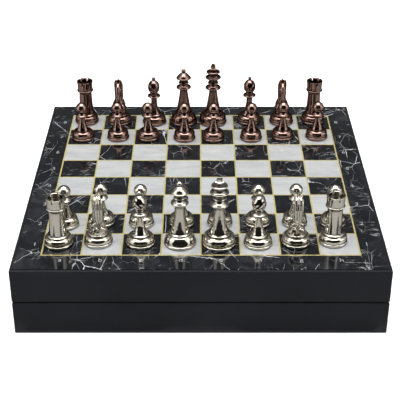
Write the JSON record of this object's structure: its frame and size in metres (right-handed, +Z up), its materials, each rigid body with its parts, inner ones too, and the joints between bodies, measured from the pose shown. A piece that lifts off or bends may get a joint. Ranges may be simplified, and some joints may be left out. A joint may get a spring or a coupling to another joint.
{
  "type": "chess set with board",
  "caption": "Metal chess set in two finishes, standing on a square folding storage box whose hinged lid is the printed board.",
  "frame": {"origin": "centre of the box's underside", "axes": "+X to the right and +Y away as seen by the silver player, with the hinges at the +Y side; +Z up"},
  "size_m": [0.36, 0.36, 0.1469],
  "materials": {
    "charcoal_lacquer": "satin",
    "printed_sheet": "gloss",
    "foam": "matte",
    "hinge_brass": "satin",
    "polished_nickel": "polished",
    "antique_copper": "polished"
  },
  "bodies": {
    "base": {"base_front_wall": "charcoal_lacquer", "base_back_wall": "charcoal_lacquer", "base_left_wall": "charcoal_lacquer", "base_right_wall": "charcoal_lacquer", "base_panel": "charcoal_lacquer", "foam_sheet": "foam", "foam_rails": "foam", "foam_dividers": "foam", "hinge_left_base_leaf": "hinge_brass", "hinge_left_pin": "hinge_brass", "hinge_right_base_leaf": "hinge_brass", "hinge_right_pin": "hinge_brass", "base_hinge_screws": "hinge_brass"},
    "lid": {"lid_front_wall": "charcoal_lacquer", "lid_back_wall": "charcoal_lacquer", "lid_left_wall": "charcoal_lacquer", "lid_right_wall": "charcoal_lacquer", "lid_panel": "charcoal_lacquer", "board_print": "printed_sheet", "lid_foam_pad": "foam", "hinge_left_lid_leaf": "hinge_brass", "hinge_right_lid_leaf": "hinge_brass", "lid_hinge_screws": "hinge_brass"},
    "silver_rook_a": {"silver_rook_a": "polished_nickel"},
    "silver_knight_b": {"silver_knight_b": "polished_nickel"},
    "silver_bishop_c": {"silver_bishop_c": "polished_nickel"},
    "silver_queen_d": {"silver_queen_d": "polished_nickel"},
    "silver_king_e": {"silver_king_e": "polished_nickel"},
    "silver_bishop_f": {"silver_bishop_f": "polished_nickel"},
    "silver_knight_g": {"silver_knight_g": "polished_nickel"},
    "silver_rook_h": {"silver_rook_h": "polished_nickel"},
    "silver_pawn_a": {"silver_pawn_a": "polished_nickel"},
    "silver_pawn_b": {"silver_pawn_b": "polished_nickel"},
    "silver_pawn_c": {"silver_pawn_c": "polished_nickel"},
    "silver_pawn_d": {"silver_pawn_d": "polished_nickel"},
    "silver_pawn_e": {"silver_pawn_e": "polished_nickel"},
    "silver_pawn_f": {"silver_pawn_f": "polished_nickel"},
    "silver_pawn_g": {"silver_pawn_g": "polished_nickel"},
    "silver_pawn_h": {"silver_pawn_h": "polished_nickel"},
    "bronze_rook_a": {"bronze_rook_a": "antique_copper"},
    "bronze_knight_b": {"bronze_knight_b": "antique_copper"},
    "bronze_bishop_c": {"bronze_bishop_c": "antique_copper"},
    "bronze_queen_d": {"bronze_queen_d": "antique_copper"},
    "bronze_king_e": {"bronze_king_e": "antique_copper"},
    "bronze_bishop_f": {"bronze_bishop_f": "antique_copper"},
    "bronze_knight_g": {"bronze_knight_g": "antique_copper"},
    "bronze_rook_h": {"bronze_rook_h": "antique_copper"},
    "bronze_pawn_a": {"bronze_pawn_a": "antique_copper"},
    "bronze_pawn_b": {"bronze_pawn_b": "antique_copper"},
    "bronze_pawn_c": {"bronze_pawn_c": "antique_copper"},
    "bronze_pawn_d": {"bronze_pawn_d": "antique_copper"},
    "bronze_pawn_e": {"bronze_pawn_e": "antique_copper"},
    "bronze_pawn_f": {"bronze_pawn_f": "antique_copper"},
    "bronze_pawn_g": {"bronze_pawn_g": "antique_copper"},
    "bronze_pawn_h": {"bronze_pawn_h": "antique_copper"}
  },
  "joints": [
    {"name": "box_lid_hinge", "type": "hinge", "parent": "base", "child": "lid", "pos_m": [0, 0.177, 0.03615], "axis": [-1, 0, 0], "range_deg": [0, 100]},
    {"name": "silver_rook_a_lift", "type": "slide", "parent": "lid", "child": "silver_rook_a", "axis": [0, 0, 1], "range_m": [0, 0.1]},
    {"name": "silver_knight_b_lift", "type": "slide", "parent": "lid", "child": "silver_knight_b", "axis": [0, 0, 1], "range_m": [0, 0.1]},
    {"name": "silver_bishop_c_lift", "type": "slide", "parent": "lid", "child": "silver_bishop_c", "axis": [0, 0, 1], "range_m": [0, 0.1]},
    {"name": "silver_queen_d_lift", "type": "slide", "parent": "lid", "child": "silver_queen_d", "axis": [0, 0, 1], "range_m": [0, 0.1]},
    {"name": "silver_king_e_lift", "type": "slide", "parent": "lid", "child": "silver_king_e", "axis": [0, 0, 1], "range_m": [0, 0.1]},
    {"name": "silver_bishop_f_lift", "type": "slide", "parent": "lid", "child": "silver_bishop_f", "axis": [0, 0, 1], "range_m": [0, 0.1]},
    {"name": "silver_knight_g_lift", "type": "slide", "parent": "lid", "child": "silver_knight_g", "axis": [0, 0, 1], "range_m": [0, 0.1]},
    {"name": "silver_rook_h_lift", "type": "slide", "parent": "lid", "child": "silver_rook_h", "axis": [0, 0, 1], "range_m": [0, 0.1]},
    {"name": "silver_pawn_a_lift", "type": "slide", "parent": "lid", "child": "silver_pawn_a", "axis": [0, 0, 1], "range_m": [0, 0.1]},
    {"name": "silver_pawn_b_lift", "type": "slide", "parent": "lid", "child": "silver_pawn_b", "axis": [0, 0, 1], "range_m": [0, 0.1]},
    {"name": "silver_pawn_c_lift", "type": "slide", "parent": "lid", "child": "silver_pawn_c", "axis": [0, 0, 1], "range_m": [0, 0.1]},
    {"name": "silver_pawn_d_lift", "type": "slide", "parent": "lid", "child": "silver_pawn_d", "axis": [0, 0, 1], "range_m": [0, 0.1]},
    {"name": "silver_pawn_e_lift", "type": "slide", "parent": "lid", "child": "silver_pawn_e", "axis": [0, 0, 1], "range_m": [0, 0.1]},
    {"name": "silver_pawn_f_lift", "type": "slide", "parent": "lid", "child": "silver_pawn_f", "axis": [0, 0, 1], "range_m": [0, 0.1]},
    {"name": "silver_pawn_g_lift", "type": "slide", "parent": "lid", "child": "silver_pawn_g", "axis": [0, 0, 1], "range_m": [0, 0.1]},
    {"name": "silver_pawn_h_lift", "type": "slide", "parent": "lid", "child": "silver_pawn_h", "axis": [0, 0, 1], "range_m": [0, 0.1]},
    {"name": "bronze_rook_a_lift", "type": "slide", "parent": "lid", "child": "bronze_rook_a", "axis": [0, 0, 1], "range_m": [0, 0.1]},
    {"name": "bronze_knight_b_lift", "type": "slide", "parent": "lid", "child": "bronze_knight_b", "axis": [0, 0, 1], "range_m": [0, 0.1]},
    {"name": "bronze_bishop_c_lift", "type": "slide", "parent": "lid", "child": "bronze_bishop_c", "axis": [0, 0, 1], "range_m": [0, 0.1]},
    {"name": "bronze_queen_d_lift", "type": "slide", "parent": "lid", "child": "bronze_queen_d", "axis": [0, 0, 1], "range_m": [0, 0.1]},
    {"name": "bronze_king_e_lift", "type": "slide", "parent": "lid", "child": "bronze_king_e", "axis": [0, 0, 1], "range_m": [0, 0.1]},
    {"name": "bronze_bishop_f_lift", "type": "slide", "parent": "lid", "child": "bronze_bishop_f", "axis": [0, 0, 1], "range_m": [0, 0.1]},
    {"name": "bronze_knight_g_lift", "type": "slide", "parent": "lid", "child": "bronze_knight_g", "axis": [0, 0, 1], "range_m": [0, 0.1]},
    {"name": "bronze_rook_h_lift", "type": "slide", "parent": "lid", "child": "bronze_rook_h", "axis": [0, 0, 1], "range_m": [0, 0.1]},
    {"name": "bronze_pawn_a_lift", "type": "slide", "parent": "lid", "child": "bronze_pawn_a", "axis": [0, 0, 1], "range_m": [0, 0.1]},
    {"name": "bronze_pawn_b_lift", "type": "slide", "parent": "lid", "child": "bronze_pawn_b", "axis": [0, 0, 1], "range_m": [0, 0.1]},
    {"name": "bronze_pawn_c_lift", "type": "slide", "parent": "lid", "child": "bronze_pawn_c", "axis": [0, 0, 1], "range_m": [0, 0.1]},
    {"name": "bronze_pawn_d_lift", "type": "slide", "parent": "lid", "child": "bronze_pawn_d", "axis": [0, 0, 1], "range_m": [0, 0.1]},
    {"name": "bronze_pawn_e_lift", "type": "slide", "parent": "lid", "child": "bronze_pawn_e", "axis": [0, 0, 1], "range_m": [0, 0.1]},
    {"name": "bronze_pawn_f_lift", "type": "slide", "parent": "lid", "child": "bronze_pawn_f", "axis": [0, 0, 1], "range_m": [0, 0.1]},
    {"name": "bronze_pawn_g_lift", "type": "slide", "parent": "lid", "child": "bronze_pawn_g", "axis": [0, 0, 1], "range_m": [0, 0.1]},
    {"name": "bronze_pawn_h_lift", "type": "slide", "parent": "lid", "child": "bronze_pawn_h", "axis": [0, 0, 1], "range_m": [0, 0.1]}
  ]
}
